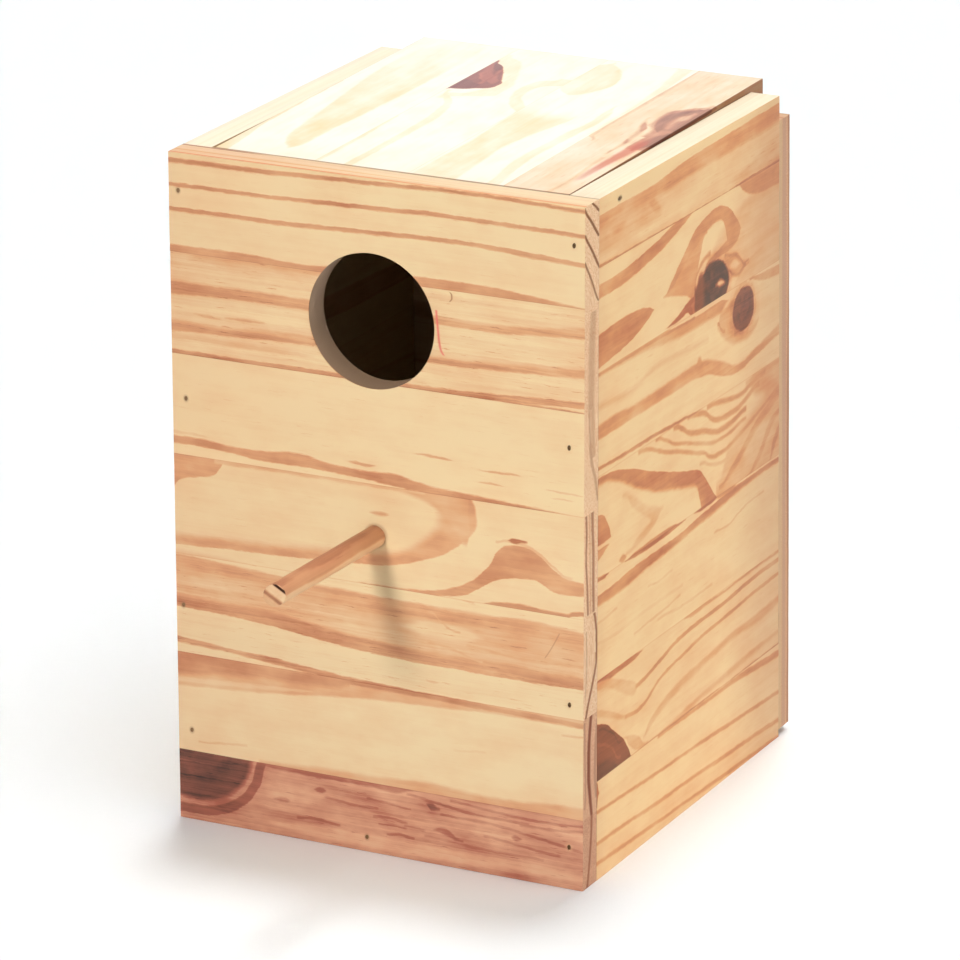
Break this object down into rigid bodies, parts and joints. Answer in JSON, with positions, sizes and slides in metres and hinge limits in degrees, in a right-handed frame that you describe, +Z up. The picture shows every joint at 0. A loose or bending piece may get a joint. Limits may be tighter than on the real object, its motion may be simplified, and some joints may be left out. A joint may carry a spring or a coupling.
{
  "type": "wooden nest box",
  "caption": "Upright pine nest box with a round entrance hole, a dowel perch and a lid that tips up at the rear on two pins near its front edge.",
  "frame": {"origin": "centre of the box's footprint on the ground, mid width and mid depth of the box without its perch", "axes": "+Z up, -Y the way the perch points, +X to the viewer's right when the viewer faces the front"},
  "size_m": [0.194, 0.306, 0.3027],
  "materials": {
    "pine": "planed, unfinished softwood with brown latewood and knots",
    "pine_lid": "planed, unfinished pale softwood",
    "dowel": "turned, unfinished softwood",
    "nail_steel": "dark wire nail, dull"
  },
  "bodies": {
    "box": {"front_stave_1": "pine", "front_stave_2": "pine", "front_stave_3": "pine", "front_stave_4": "pine", "front_stave_5": "pine", "front_stave_6": "pine", "front_stave_7": "pine", "right_stave_1": "pine", "right_stave_2": "pine", "right_stave_3": "pine", "right_stave_4": "pine", "right_stave_5": "pine", "right_stave_6": "pine", "right_stave_7": "pine", "left_stave_1": "pine", "left_stave_2": "pine", "left_stave_3": "pine", "left_stave_4": "pine", "left_stave_5": "pine", "left_stave_6": "pine", "left_stave_7": "pine", "back_stave_1": "pine", "back_stave_2": "pine", "back_stave_3": "pine", "back_stave_4": "pine", "back_stave_5": "pine", "back_stave_6": "pine", "back_stave_7": "pine", "floor_stave_1": "pine", "floor_stave_2": "pine", "floor_stave_3": "pine", "floor_stave_4": "pine", "perch": "dowel", "front_nails": "nail_steel", "back_nails": "nail_steel", "hinge_pin_right": "nail_steel", "hinge_pin_left": "nail_steel"},
    "lid": {"lid_stave_1": "pine_lid", "lid_stave_2": "pine_lid", "lid_stave_3": "pine_lid", "lid_stave_4": "pine_lid"}
  },
  "joints": [
    {"name": "lid_hinge", "type": "hinge", "parent": "box", "child": "lid", "pos_m": [0, -0.0745, 0.2953], "axis": [1, 0, 0], "range_deg": [0, 145]}
  ]
}
